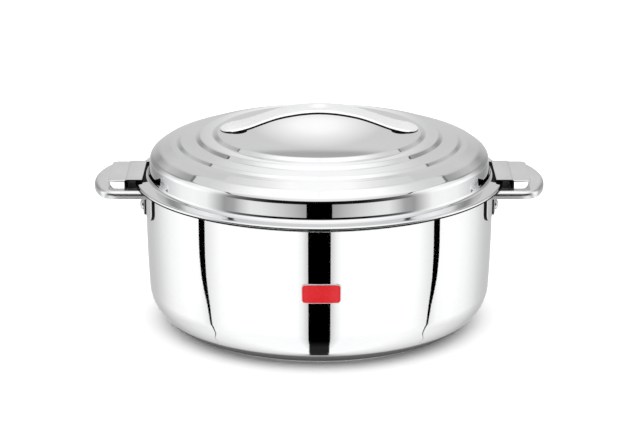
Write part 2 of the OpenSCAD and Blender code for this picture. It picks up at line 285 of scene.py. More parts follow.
def plain(name, lo, hi, rough, grain, depth, spec=0.5, coat=0.0, scale=600.0):
    """Moulded plastic, rubber, foam or enamel, with a fine grain and a slow colour drift."""
    m = Nodes(name)
    m.bsdf.inputs["Specular IOR Level"].default_value = spec
    m.bsdf.inputs["Coat Weight"].default_value = coat
    m.bsdf.inputs["Coat Roughness"].default_value = 0.04
    drift = m.noise(m.co, 60.0, 4.0, 0.6)
    g = m.noise(m.co, scale, 4.0, 0.6)
    m.link(m.mix(m.range(m.math("ADD", m.math("MULTIPLY", drift, 0.6), m.math("MULTIPLY", g, 0.4)), 0.35, 0.65, 0.0, 1.0), lo, hi), m.bsdf.inputs["Base Color"])
    m.link(m.range(drift, 0.3, 0.7, rough[0], rough[1]), m.bsdf.inputs["Roughness"])
    m.link(m.bump(g, depth, grain), m.bsdf.inputs["Normal"])
    return m.mat


mirror_steel = steel("mirror_steel", (0.895, 0.90, 0.905), 0.015, 0.045, lines_up=0.1, dark=0.965, wear=0.05)
# wall_steel carries the painted shade band on the foot, up to 9.8 mm high
wall_steel = steel("wall_steel", (0.895, 0.90, 0.905), 0.015, 0.045, lines_up=0.1, dark=0.965, wear=0.05, foot=0.0098)
bowl_steel = steel("bowl_steel", (0.80, 0.81, 0.82), 0.22, 0.36, brush=1.0, dark=0.88)
handle_steel = steel("handle_steel", (0.84, 0.845, 0.85), 0.15, 0.26, spun=False, axis=(0.5, 1.6, 1.6), wave=0.6)
strap_steel = steel("strap_steel", (0.90, 0.905, 0.91), 0.06, 0.14, spun=False, axis=(0.06, 1.5, 1.5), wave=0.5, metal=0.62)
# painted shade: a near-black steel for the strap's rolled under-edge, the plates' side faces and the lock channel's
# inside and crease, standing in for the shadow and dark reflection there
edge_steel = steel("edge_steel", (0.030, 0.030, 0.032), 0.30, 0.48, spun=False, brush=0.6, dark=0.6)
stud_steel = steel("stud_steel", (0.80, 0.81, 0.82), 0.12, 0.26, spun=False, brush=0.4, dark=0.85)
foam_mat = plain("foam_cells", (0.78, 0.70, 0.46), (0.90, 0.84, 0.60), (0.75, 0.95), 0.8, 0.0006, spec=0.2, scale=900.0)
black_mat = plain("black_moulding", (0.018, 0.018, 0.02), (0.04, 0.04, 0.043), (0.42, 0.58), 0.5, 0.00012, scale=1600.0)
rubber_mat = plain("black_rubber", (0.003, 0.003, 0.0035), (0.008, 0.008, 0.0085), (0.55, 0.75), 0.4, 0.0001, spec=0.12, scale=1200.0)
red_mat = plain("red_enamel", (0.44, 0.006, 0.009), (0.50, 0.011, 0.016), (0.20, 0.32), 0.15, 0.00004, spec=0.25, coat=0.2, scale=2200.0)
pale_mat = plain("pale_enamel", (0.40, 0.38, 0.38), (0.50, 0.48, 0.48), (0.22, 0.34), 0.15, 0.00004, spec=0.3, scale=2200.0)

# ---------------------------------------------------------------- profiles, as in the CAD
def unit(a, b):
    d = (b[0] - a[0], b[1] - a[1])
    n = max(math.hypot(*d), 1e-6)
    return (d[0] / n, d[1] / n)


def corner(a, p, b, r, n=8):
    u, v = unit(p, a), unit(p, b)
    c = max(-1.0, min(1.0, u[0] * v[0] + u[1] * v[1]))
    half = math.acos(c) / 2
    if r <= 0 or half > math.radians(89.5):
        return [(p[0], p[1])]
    t = r / math.tan(half)
    p1 = (p[0] + u[0] * t, p[1] + u[1] * t)
    p2 = (p[0] + v[0] * t, p[1] + v[1] * t)
    w = unit((0, 0), (u[0] + v[0], u[1] + v[1]))
    m = (p[0] + w[0] * r / math.sin(half), p[1] + w[1] * r / math.sin(half))
    a1 = math.atan2(p1[1] - m[1], p1[0] - m[0])
    a2 = math.atan2(p2[1] - m[1], p2[0] - m[0])
    da = a2 - a1
    if da > math.pi:
        da -= 2 * math.pi
    if da < -math.pi:
        da += 2 * math.pi
    return [(m[0] + r * math.cos(a1 + da * i / n), m[1] + r * math.sin(a1 + da * i / n)) for i in range(n + 1)]


def smooth_path(q, n=8):
    out = []
    for i, p in enumerate(q):
        if i in (0, len(q) - 1):
            out.append((p[0], p[1]))
        else:
            out += corner(q[i - 1][:2], p[:2], q[i + 1][:2], p[2], n)
    return out


def beside(p, d):
    out = []
    for i in range(len(p)):
        a = unit(p[0], p[1]) if i == 0 else unit(p[i - 1], p[i])
        b = a if i == len(p) - 1 else unit(p[i], p[i + 1])
        na, nb = (a[1], -a[0]), (b[1], -b[0])
        m = unit((0, 0), (na[0] + nb[0], na[1] + nb[1]))
        k = d / max(0.35, m[0] * na[0] + m[1] * na[1])
        out.append((p[i][0] + m[0] * k, p[i][1] + m[1] * k))
    return out


def resample(p, step=4.0, near=0.35):
    """Adds points to long runs, so that shading follows the sheet and not the gaps between rings."""
    out = [p[0]]
    for a, b in zip(p, p[1:]):
        n = math.hypot(b[0] - a[0], b[1] - a[1])
        ts = []
        if n > 3 * near:
            ts = [near / n, 1 - near / n]
            k = int(n / step)
            ts += [i / (k + 1) for i in range(1, k + 1)]
        for t in sorted(ts):
            out.append((a[0] + (b[0] - a[0]) * t, a[1] + (b[1] - a[1]) * t))
        out.append(b)
    return out


# ---------------------------------------------------------------- mesh makers
def finish_mesh(name, bm, mat, body, slot_name, node=None, sharp=32.0, merge=1e-7):
    bmesh.ops.remove_doubles(bm, verts=bm.verts, dist=merge)
    bmesh.ops.dissolve_degenerate(bm, edges=bm.edges, dist=1e-8)
    bmesh.ops.recalc_face_normals(bm, faces=bm.faces)
    me = bpy.data.meshes.new(name)
    bm.to_mesh(me)
    bm.free()
    me.polygons.foreach_set("use_smooth", [True] * len(me.polygons))
    me.set_sharp_from_angle(angle=math.radians(sharp))
    me.materials.append(mat)
    ob = bpy.data.objects.new(name, me)
    scene.collection.objects.link(ob)
    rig.ride(ob, body)
    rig.slot(ob, slot_name)
    if node:
        for n in [node] if isinstance(node, str) else node:
            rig.replaces(ob, n)
    return ob


def lathe_into(bm, loop, n=256, closed=True, gaps=(), gap_r=0.0):
    """Turns a profile in mm round Z. gaps are (centre, half) angles in degrees where points beyond gap_r are left out."""
    if gaps:
        edges = set(i * 360.0 / n for i in range(n))
        for c, h in gaps:
            edges = set(e for e in edges if abs((e - (c - h) + 180) % 360 - 180) > 0.45 and abs((e - (c + h) + 180) % 360 - 180) > 0.45)
            edges |= {(c - h) % 360, (c + h) % 360}
        angles = sorted(edges)
    else:
        angles = [i * 360.0 / n for i in range(n)]
    rings = []
    for a in angles:
        ca, sa = math.cos(math.radians(a)), math.sin(math.radians(a))
        rings.append([bm.verts.new((r * ca * MM, r * sa * MM, z * MM)) for r, z in loop])
    m = len(loop)
    inside = [r <= gap_r + 1e-6 for r, z in loop]

    def in_gap(a0, a1):
        mid = (a0 + ((a1 - a0) % 360) / 2) % 360
        return any(abs((mid - c + 180) % 360 - 180) < h for c, h in gaps)

    N = len(angles)
    state = []
    for i in range(N):
        j = (i + 1) % N
        g = in_gap(angles[i], angles[j])
        state.append(g)
        idx = [k for k in range(m) if inside[k]] if g else list(range(m))
        pairs = list(zip(idx, idx[1:] + ([idx[0]] if closed or g else [])))
        for k, l in pairs:
            quad = [rings[i][k], rings[j][k], rings[j][l], rings[i][l]]
            if quad[0].co != quad[3].co or quad[1].co != quad[2].co:
                try:
                    bm.faces.new(quad)
                except ValueError:
                    pass
    for i in range(N):
        if gaps and state[i - 1] != state[i]:
            # the sheet's cut edge, as the part of the profile beyond gap_r
            idx = [k for k in range(m) if not inside[k]]
            if not idx:
                continue
            first, last = idx[0], idx[-1]
            ring = [rings[i][(first - 1) % m]] + [rings[i][k] for k in range(first, last + 1)] + [rings[i][(last + 1) % m]]
            try:
                bm.faces.new(ring)
            except ValueError:
                pass


def lathe(name, loop, mat, body, slot_name, node=None, n=256, gaps=(), gap_r=0.0, sharp=32.0):
    bm = bmesh.new()
    lathe_into(bm, loop, n, True, gaps, gap_r)
    return finish_mesh(name, bm, mat, body, slot_name, node, sharp)


def sheet_loop(path, t, step=4.0):
    """A closed profile: the path, then the path moved t to its right, back to the start."""
    return resample(path, step) + list(reversed(resample(beside(path, t), step)))


def grid(bm, rows, close_u=False, close_v=False, pick=None):
    """Faces over rows of equal length. pick gives the material number of the face at row i, point j."""
    vs = [[bm.verts.new((p[0] * MM, p[1] * MM, p[2] * MM)) for p in row] for row in rows]
    nu, nv = len(vs), len(vs[0])
    for i in range(nu if close_u else nu - 1):
        for j in range(nv if close_v else nv - 1):
            try:
                f = bm.faces.new([vs[i][j], vs[(i + 1) % nu][j], vs[(i + 1) % nu][(j + 1) % nv], vs[i][(j + 1) % nv]])
                if pick:
                    f.material_index = pick(i, j)
            except ValueError:
                pass
    return vs


# ---------------------------------------------------------------- sizes, in mm, as in the CAD
WALL_R, WALL_LOW_R, BASE_C = 116.2, 114.9, 26.0
SHELL_T = 0.8
BOWL_R, BOWL_Z, BOWL_T, RIM_Z = 105.5, 14.6, 0.6, 97.0
FLANGE_R, FLANGE_Z, COVER_T = 123.4, 99.6, 0.6
LINER_Z, LINER_T = 88.0, 0.5
LINER_R, LINER_TOP = BOWL_R - 1.2, FLANGE_Z - 0.65
DOME_Z, DISC_R, DISC_Z = 130.6, 68.0, 128.9
NOTCH_IN, NOTCH_DEG = 115.8, 12.3
LOCK_IN, LOCK_OUT, LOCK_W = 116.2, 129.0, 23.4
PLATE_IN, PLATE_OUT = WALL_R + 0.05, WALL_R + 1.25
PAD_OUT = PLATE_OUT + 0.9
RIVET_Y, RIVET_Z = 15.0, 82.0
NOTCHES = ((0.0, NOTCH_DEG), (180.0, NOTCH_DEG))


def wall_at(z):
    return WALL_R if z >= 80 else WALL_R - (WALL_R - WALL_LOW_R) * ((80 - z) / 50) ** 2


LEAN = math.radians(3.3)
FOOT_R = wall_at(BASE_C * (1 - math.sin(LEAN))) - BASE_C * math.cos(LEAN)


# ---------------------------------------------------------------- pot
arc = [(FOOT_R + BASE_C * math.cos(math.radians(a)), BASE_C + BASE_C * math.sin(math.radians(a))) for a in list(range(-90, -5, 3)) + [-4.6, -3.3]]
shell_path = [(0, 1.5), (9, 1.5)] + smooth_path([(9, 1.5, 0), (56, 1.5, 1.2), (60, 0, 1.2), (70, 0, 0)]) + arc + [
    (wall_at(z), z) for z in (26, 28, 30, 32, 35, 38, 41, 44, 47, 50, 53, 56, 59, 62, 65, 68, 71, 74, 77, 80, 83, 86, 90, 93)] + smooth_path([(WALL_R, 94, 0), (WALL_R, 95.5, 0.5), (WALL_R + 0.9, 95.5, 0)])
shell_out = [p for i, p in enumerate(shell_path) if i == 0 or math.hypot(p[0] - shell_path[i - 1][0], p[1] - shell_path[i - 1][1]) > 1e-4]
shell_loop = resample(shell_out[1:], 3.0) + [(WALL_R + 0.9, 96.3)] + list(reversed([p for p in beside(shell_out[1:], -SHELL_T) if p[1] < 95.4]))
lathe("outer_pot", shell_loop, wall_steel, "pot", "polished_steel", "outer_shell", n=320)

bowl_path = [(0, BOWL_Z), (40, BOWL_Z)] + [(BOWL_R - 22 + 22 * math.cos(math.radians(a)), BOWL_Z + 22 + 22 * math.sin(math.radians(a))) for a in range(-90, 1, 5)]
bowl_path += corner((BOWL_R, 60), (BOWL_R, RIM_Z), (112, RIM_Z), 1.2, 6)
bowl_path += corner((112, RIM_Z), (WALL_R + 1.7, RIM_Z), (WALL_R + 1.7, 94), 0.9, 8)
bowl_path += [(WALL_R + 1.7, 94.9)]
lathe("bowl", sheet_loop(bowl_path, BOWL_T), bowl_steel, "pot", "bowl_steel", "inner_bowl", n=256)

# ---------------------------------------------------------------- lid
def dome_at(r):
    return DOME_Z - (DOME_Z - DISC_Z) * (r / DISC_R) ** 2


cover_path = [(r, dome_at(r)) for r in [0, 1.5] + list(range(4, 64, 3))] + smooth_path([
    (64, dome_at(64), 0), (DISC_R, DISC_Z, 2), (70.9, 126.9, 1.4), (79.6, 127.0, 1.6), (82.2, 124.7, 1.3),
    (92.5, 123.6, 1.5), (94.9, 121.9, 1.4), (98.6, 121.3, 8), (106.6, 118.7, 8), (111.6, 115.1, 4),
    (113.1, 112.8, 4.5), (114.0, FLANGE_Z + 1.1, 2.6), (FLANGE_R - 2.4, FLANGE_Z + 0.11, 0)], 12)
edge = [(FLANGE_R - 1.6 + 1.6 * math.cos(math.radians(a)), FLANGE_Z - 1.6 + 1.6 * math.sin(math.radians(a))) for a in range(82, -1, -6)] + [
    (FLANGE_R, FLANGE_Z - 1.45), (FLANGE_R - 0.08, FLANGE_Z - 1.57), (FLANGE_R - 0.2, FLANGE_Z - 1.6),
    (FLANGE_R - 3.2, FLANGE_Z - 1.6), (FLANGE_R - 3.2, FLANGE_Z - 1.2), (FLANGE_R - 1, FLANGE_Z - 1.2), (FLANGE_R - 1, FLANGE_Z - COVER_T)]


def split_at(path, r):
    """Adds a point where the path crosses radius r."""
    out = [path[0]]
    for a, b in zip(path, path[1:]):
        if (a[0] - r) * (b[0] - r) < 0:
            t = (r - a[0]) / (b[0] - a[0])
            out.append((r, a[1] + (b[1] - a[1]) * t))
        out.append(b)
    return out


cover_in = beside(cover_path, COVER_T)
cover_loop = split_at(resample(cover_path, 2.5), NOTCH_IN) + edge + list(reversed(split_at(cover_in, NOTCH_IN)))
lathe("cover", cover_loop, mirror_steel, "lid", "polished_steel", "lid_cover", n=320, gaps=NOTCHES, gap_r=NOTCH_IN)

liner_path = [(0, LINER_Z), (30, LINER_Z), (60, LINER_Z)] + [
    (LINER_R - 5 + 5 * math.cos(math.radians(a)), LINER_Z + 5 + 5 * math.sin(math.radians(a))) for a in range(-90, 1, 9)]
liner_path += corner((LINER_R, LINER_Z + 5), (LINER_R, LINER_TOP - LINER_T), (112, LINER_TOP - LINER_T), 1.0, 6)
liner_path += [(FLANGE_R - 1.1, LINER_TOP - LINER_T)]
liner_loop = split_at(resample(liner_path), NOTCH_IN) + list(reversed(split_at(resample(beside(liner_path, -LINER_T)), NOTCH_IN)))
lathe("liner", liner_loop, bowl_steel, "lid", "bowl_steel", "lid_liner", n=256, gaps=NOTCHES, gap_r=NOTCH_IN)

# seal: a thin ring with a lip on its outer edge
# the seal's outer lip reaches out under the lid's hem: black rubber that also stands in for the shadow gap there
seal = [(BOWL_R + 3, RIM_Z), (WALL_R + 1.9, RIM_Z), (WALL_R + 2.2, RIM_Z - 0.15), (WALL_R + 6.5, RIM_Z - 0.18), (WALL_R + 6.8, RIM_Z + 0.02),
        (WALL_R + 6.8, RIM_Z + 0.75), (WALL_R + 6.6, RIM_Z + 0.9), (WALL_R + 2.7, RIM_Z + 0.9), (WALL_R + 2.4, RIM_Z + 1.05),
        (WALL_R + 2.4, LINER_TOP - 0.55), (BOWL_R + 3, LINER_TOP - 0.55)]
lathe("seal", seal, rubber_mat, "seal", "seal_rubber", "rim_seal", n=192)

# ---------------------------------------------------------------- strap
STRAP_Z, STRAP_HALF, STRAP_W, STRAP_T, STUD_X = 145.8, 66.0, 12.0, 1.1, 54.0
STRAP_TOP = [(0, 0), (10.4, 0.6), (20, 2.1), (27.1, 3.7), (34, 5.9), (40.4, 8.2), (46, 10.2), (50.4, 11.5), (55, 12.6), (59, 13.3), (63, 14.1), (66.1, 15.0)]


def smooth_lookup(x, table):
    """A Catmull-Rom curve through the table, mirrored about its first point."""
    xs = [p[0] for p in table]
    ys = [p[1] for p in table]
    x = min(max(x, xs[0]), xs[-1])
    i = max(k for k in range(len(xs) - 1) if xs[k] <= x or k == 0)

    def slope(k):
        if k == 0:
            return 0.0
        if k == len(xs) - 1:
            return (ys[-1] - ys[-2]) / (xs[-1] - xs[-2])
        return (ys[k + 1] - ys[k - 1]) / (xs[k + 1] - xs[k - 1])
    h = xs[i + 1] - xs[i]
    t = (x - xs[i]) / h
    return ((2 * t ** 3 - 3 * t ** 2 + 1) * ys[i] + (t ** 3 - 2 * t ** 2 + t) * h * slope(i)
            + (-2 * t ** 3 + 3 * t ** 2) * ys[i + 1] + (t ** 3 - t ** 2) * h * slope(i + 1))


def strap_at(x):
    return STRAP_Z - smooth_lookup(abs(x), STRAP_TOP)


def strap_half_w(x):
    a = abs(x)
    if a < 30:
        return STRAP_W
    if a < 52:
        u = (a - 30) / 22
        return STRAP_W + u * u * (3 - 2 * u)
    return (STRAP_W + 1) * math.sqrt(max(0.0, 1 - max(0.0, (a - 55) / 11.1) ** 2.4))


def strap_roll(x):
    w = strap_half_w(x)
    return max(0.45, min(2.5, 0.8 * w, strap_at(x) - 1.0 - dome_at(math.hypot(x, w))))


bm = bmesh.new()
xs = [-STRAP_HALF + 0.02]
x = -STRAP_HALF + 0.02
while x < STRAP_HALF - 0.03:
    a = STRAP_HALF - abs(x)
    x = min(STRAP_HALF - 0.02, x + (0.25 if a < 2 else 0.6 if a < 6 else 1.5))
    xs.append(x)
rows, rolls = [], []
NU, NR = 18, 12
for x in xs:
    # a nearly flat top between two rolled edges; the sheet's cut edge points down
    w, r, z = strap_half_w(x), strap_roll(x), strap_at(x)
    f = w - r
    c = 0.5 * (f / w) ** 2
    m, q = z - c - r, r - min(STRAP_T, 0.75 * r)
    us = [-1 + 2 * i / NU for i in range(1, NU)]
    turn = [math.radians(90 * i / NR) for i in range(NR + 1)]
    row = [(x, -f - r * math.cos(a), m + r * math.sin(a)) for a in turn]
    row += [(x, u * f, z - c * u * u) for u in us]
    row += [(x, f + r * math.cos(a), m + r * math.sin(a)) for a in reversed(turn)]
    row += [(x, f + q * math.cos(a), m + q * math.sin(a)) for a in turn]
    row += [(x, -u * f, z - c * u * u - (r - q)) for u in us]
    row += [(x, -f - q * math.cos(a), m + q * math.sin(a)) for a in reversed(turn)]
    rows.append(row)
    rolls.append(r)


def strap_pick(i, j):
    """The rolled edge's lowest part and its inside take painted shade: the dark steel that stands in for the shadow and
    dark reflection under the edge.
    """
    if j <= NR - 1:
        a = (j + 0.5) / NR
    elif NR + NU <= j <= 2 * NR + NU - 1:
        a = 1 - (j - NR - NU + 0.5) / NR
    else:
        return int(2 * NR + NU <= j <= 3 * NR + NU + 1 or j >= 3 * NR + 2 * NU)
    return int(rolls[i] * math.sin(a * math.pi / 2) < min(1.25, 0.62 * rolls[i]))


vs = grid(bm, rows, close_v=True, pick=strap_pick)
for ring in (vs[0], vs[-1]):
    k = len(ring)
    for j in range(k // 2 - 1):
        bm.faces.new([ring[j], ring[j + 1], ring[k - 2 - j], ring[k - 1 - j]])
strap = finish_mesh("strap", bm, strap_steel, "lid", "handle_steel", "lid_handle", sharp=50.0)
# the strap's second material is the painted-shade steel on its under-edge
strap.data.materials.append(edge_steel)

# studs that carry the strap
STUD_LOW = dome_at(STUD_X) + 0.25
bm = bmesh.new()
for s in (-1, 1):
    top = strap_at(STUD_X + 4.5) - STRAP_T - 0.1
    prof = [(0, STUD_LOW), (5.0 - 0.5, STUD_LOW), (5.0 - 0.5, STUD_LOW + 0.6), (3.9, STUD_LOW + 1.0), (3.9, top - 0.5), (4.5, top - 0.2), (4.5, top), (0, top)]
    part = bmesh.new()
    lathe_into(part, prof, 64)
    bmesh.ops.remove_doubles(part, verts=part.verts, dist=1e-7)
    bmesh.ops.translate(part, verts=part.verts, vec=(s * STUD_X * MM, 0, 0))
    me = bpy.data.meshes.new("tmp")
    part.to_mesh(me)
    part.free()
    bm.from_mesh(me)
    bpy.data.meshes.remove(me)
finish_mesh("studs", bm, stud_steel, "lid", "fastener_steel", "handle_studs")

# ---------------------------------------------------------------- side handles
HANDLE_END, HANDLE_W, BAND_W, BAND_TOP, H_CORNER, H_BOW = 150.48, 36.0, 10.0, 96.7, 12.25, 74.0
BOW_X = HANDLE_END - H_BOW
BEND_Y = HANDLE_W - H_CORNER
BEND_X = BOW_X + math.sqrt((H_BOW - H_CORNER) ** 2 - BEND_Y ** 2)
BOW_A = math.atan2(BEND_Y, BEND_X - BOW_X)

section = (corner((0, 80), (0, BAND_TOP), (9, BAND_TOP), 1.6, 6) + [(2.2, BAND_TOP), (4.4, BAND_TOP), (6.4, BAND_TOP)]
           + corner((0, BAND_TOP), (BAND_W, BAND_TOP), (BAND_W, 80), 2.8, 10)
           + [(BAND_W, BAND_TOP - 4.0), (BAND_W, BAND_TOP - 4.9), (BAND_W - 0.3, BAND_TOP - 5.2), (BAND_W - 0.9, BAND_TOP - 5.2), (BAND_W - 1.2, BAND_TOP - 4.9)]
           + corner((BAND_W - 1.2, 80), (BAND_W - 1.2, BAND_TOP - 1.2), (0, BAND_TOP - 1.2), 1.6, 5)
           + corner((9, BAND_TOP - 1.2), (1.2, BAND_TOP - 1.2), (1.2, 80), 0.5, 3)
           + [(1.2, BAND_TOP - 4.9), (0.9, BAND_TOP - 5.2), (0.3, BAND_TOP - 5.2), (0, BAND_TOP - 4.9)])


def band_rows():
    rows = []
    inner = H_CORNER - BAND_W

    def straight(s, t):
        # t = 0 at the pot, 1 at the bend
        row = []
        for d, z in section:
            y = BEND_Y + inner + d
            r0 = WALL_R + 2.2 if z > 94.5 else PLATE_IN + 0.3
            x0 = math.sqrt(r0 * r0 - y * y)
            row.append((x0 + (BEND_X - x0) * t, s * y, z))
        return row
    for i in range(9):
        rows.append(straight(-1, i / 8))
    for i in range(1, 13):
        a = -math.pi / 2 + (math.pi / 2 - BOW_A) * i / 12
        rows.append([(BEND_X + (inner + d) * math.cos(a), -BEND_Y + (inner + d) * math.sin(a), z) for d, z in section])
    for i in range(1, 25):
        a = -BOW_A + 2 * BOW_A * i / 24
        rows.append([(BOW_X + (H_BOW - BAND_W + d) * math.cos(a), (H_BOW - BAND_W + d) * math.sin(a), z) for d, z in section])
    for i in range(1, 13):
        a = BOW_A + (math.pi / 2 - BOW_A) * i / 12
        rows.append([(BEND_X + (inner + d) * math.cos(a), BEND_Y + (inner + d) * math.sin(a), z) for d, z in section])
    for i in range(1, 9):
        rows.append(straight(1, 1 - i / 8))
    return rows


def wrapped_plate(bm, r0, r1, zs, half_w, az=0.0, edge=0.3, cols=24, y_off=0.0, cut=1):
    """A sheet bent round the pot: rows of z, each with its own half width along the arc, and edges rounded by edge."""
    rings = []
    n = len(zs)
    zlo, zhi = zs[0], zs[-1]
    layers = [(r0, 0.0), (r1 - edge, 0.0), (r1 - 0.3 * edge, 0.3 * edge), (r1, edge)]
    grids = []
    for r, inset in layers:
        rows = []
        for z in zs:
            k = (z - (zlo + zhi) / 2) / ((zhi - zlo) / 2)
            zz = z - k * inset
            w = half_w(z) - inset
            rr = r + wall_at(zz) - WALL_R
            row = []
            for j in range(cols + 1):
                s = -w + 2 * w * j / cols + y_off
                a = az + s / WALL_R
                row.append(bm.verts.new((rr * math.cos(a) * MM, rr * math.sin(a) * MM, zz * MM)))
            rows.append(row)
        grids.append(rows)
    for g in (grids[0], grids[-1]):
        for i in range(n - 1):
            for j in range(cols):
                bm.faces.new([g[i][j], g[i][j + 1], g[i + 1][j + 1], g[i + 1][j]])

    def border(g):
        return g[0] + [g[i][-1] for i in range(1, n)] + list(reversed(g[-1][:-1])) + [g[i][0] for i in range(n - 2, 0, -1)]
    for k, (a, b) in enumerate(zip(grids, grids[1:])):
        ba, bb = border(a), border(b)
        for i in range(len(ba)):
            j = (i + 1) % len(ba)
            # the side faces (k < 2) take material number cut, the painted-shade steel, standing in for the shadow along
            # the plate's edge
            bm.faces.new([ba[i], ba[j], bb[j], bb[i]]).material_index = cut if k < 2 else 0


def handle_plate_w(z):
    lim = math.asin(41.0 / 117.0) * WALL_R
    return lim if z >= 83 else lim - 6 + math.sqrt(max(0.0, 36 - (83 - z) ** 2))


def turned(bm, az):
    if az:
        bmesh.ops.rotate(bm, verts=bm.verts, cent=(0, 0, 0), matrix=__import__("mathutils").Matrix.Rotation(az, 3, "Z"))


for side, az in (("right", 0.0), ("left", math.pi)):
    bm = bmesh.new()
    vs = grid(bm, band_rows(), close_v=True)
    zs = [77.0, 77.15, 77.5, 78.0, 78.8, 80.0, 81.5, 83.0, 86, 89, 92, 94.4]
    wrapped_plate(bm, PLATE_IN, PLATE_OUT, zs, handle_plate_w)
    turned(bm, az)
    finish_mesh("handle_" + side + "_press", bm, handle_steel, "pot", "handle_steel", "handle_" + side).data.materials.append(edge_steel)

    # lock channel, its pad and its wing
    bm = bmesh.new()
    rows = []
    lip = LOCK_IN + 1.0
    for i in range(41):
        y = -LOCK_W + 2 * LOCK_W * i / 40
        e = min(0.25, LOCK_W - abs(y))
        x_in = math.sqrt((PLATE_OUT + 0.05) ** 2 - y * y)
        prof = smooth_path([
            (x_in, 94.2, 0), (x_in, 93, 0), (LOCK_OUT, 93, 2.4), (LOCK_OUT, 101.4, 1.8),
            (lip + 0.3, 101.4, 0.2), (lip, 101.15, 0.15), (lip, 100.6, 0), (LOCK_OUT - 1.2, 100.6, 0.6),
            (LOCK_OUT - 1.2, 94.2, 1.2), (x_in, 94.2, 0)], 6)[:-1]
        rows.append([(x, y, z) for x, z in prof])

    def lock_pick(i, j):
        """Painted shade: the channel's inside, its cut edges and the crease where the wing starts take the dark steel
        that stands in for their shadow.
        """
        (x0, _, z0), (x1, _, z1) = rows[i][j], rows[i][(j + 1) % len(rows[i])]
        x, z = (x0 + x1) / 2, (z0 + z1) / 2
        inside = x < LOCK_OUT - 1.1 and 94.1 < z < 100.7
        return int(inside or (x < lip + 0.1 and z > 100) or (x > LOCK_OUT - 0.55 and z > 100.4))
    vs = grid(bm, rows, close_v=True, pick=lock_pick)
    # the channel's end faces take the painted-shade steel too
    bm.faces.new(vs[0]).material_index = 1
    bm.faces.new(vs[-1]).material_index = 1
    pad_w = WALL_R * math.asin((LOCK_W - 0.4) / PAD_OUT) - 0.1
    wrapped_plate(bm, PLATE_OUT + 0.05, PAD_OUT, [76.5, 76.8, 77.5, 79, 82, 86, 90, 93.4],
                  lambda z: pad_w - (0 if z > 78 else 1.5 - math.sqrt(max(0.0, 1.5 ** 2 - (78 - z) ** 2))), cols=16)
    wx0, wx1, wy, wr = LOCK_OUT - 1, HANDLE_END - BAND_W - 0.3, LOCK_W, 4.0
    outline = [(wx0, -wy)] + corner((wx0, -wy), (wx1, -wy), (wx1, wy), wr, 8) + corner((wx1, -wy), (wx1, wy), (wx0, wy), wr, 8) + [(wx0, wy)]
    top, mid1, mid2, low = [], [], [], []
    for x, y in outline:
        ins = 0.3
        cx, cy = wx1 - wr, math.copysign(wy - wr, y)
        if x <= wx0 + 0.01:
            ix, iy = x, y - math.copysign(ins, y)
        else:
            d = max(math.hypot(x - cx, y - cy), 1e-6)
            ix, iy = x - ins * (x - cx) / d, y - ins * (y - cy) / d
        top.append(bm.verts.new((ix * MM, iy * MM, 100.9 * MM)))
        mid1.append(bm.verts.new((x * MM, y * MM, 100.6 * MM)))
        mid2.append(bm.verts.new((x * MM, y * MM, 100.0 * MM)))
        low.append(bm.verts.new((ix * MM, iy * MM, 99.7 * MM)))
    bm.faces.new(top)
    bm.faces.new(low)
    for p, q in ((top, mid1), (mid1, mid2), (mid2, low)):
        for i in range(len(p)):
            j = (i + 1) % len(p)
            bm.faces.new([p[i], p[j], q[j], q[i]])
    turned(bm, az)
    finish_mesh("lock_" + side + "_press", bm, handle_steel, "pot", "handle_steel", "lock_bracket_" + side).data.materials.append(edge_steel)

# rivets
bm = bmesh.new()
for az in (0.0, math.pi):
    for s in (-1, 1):
        a = az + s * math.asin(RIVET_Y / WALL_R)
        prof = [(0, -4.3), (3.0, -4.3), (3.0, -3.5), (2.9, -3.3), (2.0, -2.4), (2.0, 2.2), (3.3, 2.2), (3.4, 2.3), (3.4, 2.5)] + [
            (3.3 * math.cos(math.radians(t)), 2.65 + 1.6 * math.sin(math.radians(t))) for t in range(6, 91, 7)] + [(0, 4.25)]
        part = bmesh.new()
        lathe_into(part, prof, 48)
        bmesh.ops.remove_doubles(part, verts=part.verts, dist=1e-7)
        M = __import__("mathutils").Matrix
        mat4 = M.Rotation(a, 4, "Z") @ M.Translation((WALL_R * MM, 0, RIVET_Z * MM)) @ M.Rotation(math.pi / 2, 4, "Y")
        bmesh.ops.transform(part, matrix=mat4, verts=part.verts)
        me = bpy.data.meshes.new("tmp")
        part.to_mesh(me)
        part.free()
        bm.from_mesh(me)
        bpy.data.meshes.remove(me)
finish_mesh("rivets", bm, stud_steel, "pot", "fastener_steel", "handle_rivets", sharp=40.0)

# ---------------------------------------------------------------- badge: red field inside a thin pale raised edge
def superpath(hw, hh, r, n=8):
    pts = []
    for cx, cz, a0 in ((hw - r, hh - r, 0), (-hw + r, hh - r, 90), (-hw + r, -hh + r, 180), (hw - r, -hh + r, 270)):
        for i in range(n + 1):
            a = math.radians(a0 + 90 * i / n)
            pts.append((cx + r * math.cos(a), cz + r * math.sin(a)))
    return pts


def badge_point(s, z, lift):
    a = -math.pi / 2 + (s + 1.15) / WALL_R
    r = wall_at(z) + 0.1 + lift
    return (r * math.cos(a) * MM, r * math.sin(a) * MM, z * MM)


bm = bmesh.new()
BZ = 53.6
layers = [(0.0, 0.0), (0.0, 0.3), (0.08, 0.5), (0.2, 0.62), (0.34, 0.66), (0.48, 0.64), (0.6, 0.58)]
rings = []
for inset, lift in layers:
    rings.append([bm.verts.new(badge_point(s, BZ + z, lift)) for s, z in superpath(12.65 - inset, 6.5 - inset, max(0.3, 2.6 - inset))])
faces_edge = []
for a, b in zip(rings, rings[1:]):
    for i in range(len(a)):
        j = (i + 1) % len(a)
        faces_edge.append(bm.faces.new([a[i], a[j], b[j], b[i]]))
bm.faces.new(rings[0])
# the field, as strips that follow the wall's curve
field = superpath(12.65 - 0.6, 6.5 - 0.6, 2.0)
m = len(field)
last = rings[-1]
half = m // 2
